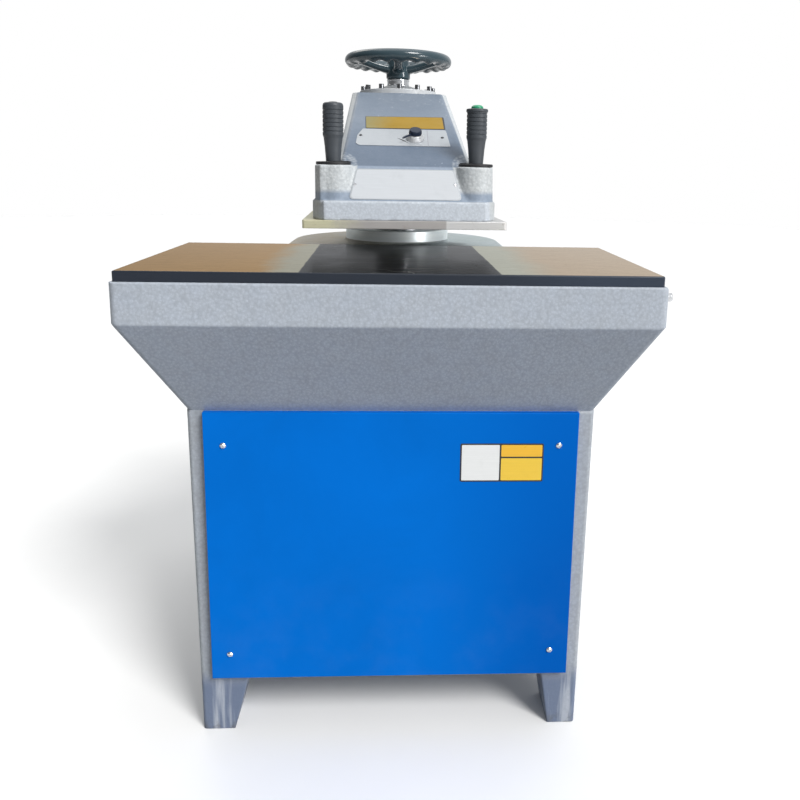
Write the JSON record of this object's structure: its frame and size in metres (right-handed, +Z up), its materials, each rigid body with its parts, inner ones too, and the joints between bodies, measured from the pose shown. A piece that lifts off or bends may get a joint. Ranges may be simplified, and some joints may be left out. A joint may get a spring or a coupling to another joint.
{
  "type": "swing arm cutting press",
  "caption": "Free-standing hydraulic die cutting press with a flared work table, a front service panel and a press arm with two grips and a handwheel that swings on a rear column.",
  "frame": {"origin": "on the floor under the middle of the machine's box", "axes": "+Z up, +X to the operator's right, -Y towards the operator"},
  "size_m": [0.919, 0.808, 1.312],
  "materials": {
    "hammer_paint": "grey hammertone paint on rough casting",
    "steel_table": "ground steel, glossy, dark edges",
    "blue_panel": "satin blue powder coat",
    "bright_steel": "zinc plated or bright",
    "black_steel": "black oxide",
    "dark_paint": "dark grey enamel",
    "bronze": "bearing bronze",
    "ground_column": "ground and chromed",
    "press_steel": "machined steel",
    "plate_alu": "satin plate",
    "yellow_plate": "plain yellow lacquer",
    "bakelite": "polished dark phenolic",
    "grip_rubber": "ribbed rubber",
    "black_rubber": "flat gasket rubber",
    "black_plastic": "moulded",
    "green_button": "moulded",
    "box_paint": "light grey enamel",
    "chrome": "polished",
    "spring_steel": "oiled"
  },
  "bodies": {
    "base": {"pedestal": "hammer_paint", "rear_shoulder": "hammer_paint", "table_casting": "hammer_paint", "column_housing": "hammer_paint", "table_plate": "steel_table", "front_panel": "blue_panel", "front_panel_screws": "bright_steel", "panel_plate": "yellow_plate", "rear_panel": "blue_panel", "rear_panel_screws": "bright_steel", "side_bolts": "bright_steel", "column_bush_upper": "bronze", "column_bush_lower": "bronze", "gland_ring": "bright_steel", "cylinder_barrel": "dark_paint", "cylinder_base": "dark_paint", "cylinder_bolts": "black_steel", "return_spring": "spring_steel", "oil_tank": "dark_paint", "tank_lid": "dark_paint", "filler_cap": "black_plastic", "motor": "dark_paint", "pump": "bright_steel", "valve_block": "bright_steel", "solenoid": "black_plastic", "pressure_pipe": "bright_steel", "electrical_box": "box_paint", "electrical_box_lid": "box_paint", "cable_gland": "black_plastic"},
    "column": {"column": "ground_column", "piston": "bright_steel", "piston_nut": "bright_steel", "lead_nut": "bronze", "thrust_ring": "bright_steel"},
    "swivel": {"swivel_sleeve": "bronze", "feather_key": "bright_steel"},
    "arm": {"arm_casting": "hammer_paint", "press_plate": "press_steel", "press_plate_screws": "black_steel", "top_cap": "hammer_paint", "top_cap_screws": "black_steel", "spindle_bush": "bronze", "nameplate": "plate_alu", "nameplate_rivets": "bright_steel", "control_plate": "plate_alu", "control_plate_screws": "bright_steel", "label_strip": "yellow_plate", "selector_switch": "bright_steel", "grip_stems": "bright_steel", "grip_flanges": "black_rubber", "grip_left": "grip_rubber", "grip_right": "grip_rubber"},
    "handwheel": {"handwheel": "bakelite", "spindle": "bright_steel", "thrust_collar": "chrome", "wheel_nut": "bright_steel"},
    "button_left": {"button_left": "black_plastic"},
    "button_right": {"button_right": "green_button"},
    "control_knob": {"control_knob": "black_plastic"},
    "motor_rotor": {"motor_shaft": "bright_steel"}
  },
  "joints": [
    {"name": "stroke", "type": "slide", "parent": "base", "child": "column", "axis": [0, 0, 1], "range_m": [-0.035, 0], "stiffness_N_per_m": 20000, "springref_m": 0.1, "deforming": ["return_spring"]},
    {"name": "swing", "type": "hinge", "parent": "column", "child": "swivel", "pos_m": [0, 0.16, 1.06], "axis": [0, 0, 1], "range_deg": [-92.8, 87.2]},
    {"name": "arm_height", "type": "slide", "parent": "swivel", "child": "arm", "axis": [0, 0, 1], "range_m": [-0.0082, 0.0422]},
    {"name": "handwheel_turn", "type": "hinge", "parent": "arm", "child": "handwheel", "pos_m": [0, 0.16, 1.2925], "axis": [0, 0, 1], "range_deg": [-576, 3024]},
    {"name": "button_left_press", "type": "slide", "parent": "arm", "child": "button_left", "axis": [0, 0, 1], "range_m": [-0.004, 0], "stiffness_N_per_m": 800, "springref_m": 0.002},
    {"name": "button_right_press", "type": "slide", "parent": "arm", "child": "button_right", "axis": [0, 0, 1], "range_m": [-0.004, 0], "stiffness_N_per_m": 800, "springref_m": 0.002},
    {"name": "knob_turn", "type": "hinge", "parent": "arm", "child": "control_knob", "pos_m": [0.03599, -0.10506, 1.1159], "axis": [0.0246, -0.5035, 0.8637], "range_deg": [-135, 135]},
    {"name": "motor_spin", "type": "hinge", "parent": "base", "child": "motor_rotor", "pos_m": [-0.2, -0.13, 0.45], "axis": [0, 0, 1], "continuous": true}
  ],
  "couplings": [
    {"joint": "arm_height", "follows": "handwheel_turn", "m_per_rad": 0.00079577}
  ]
}
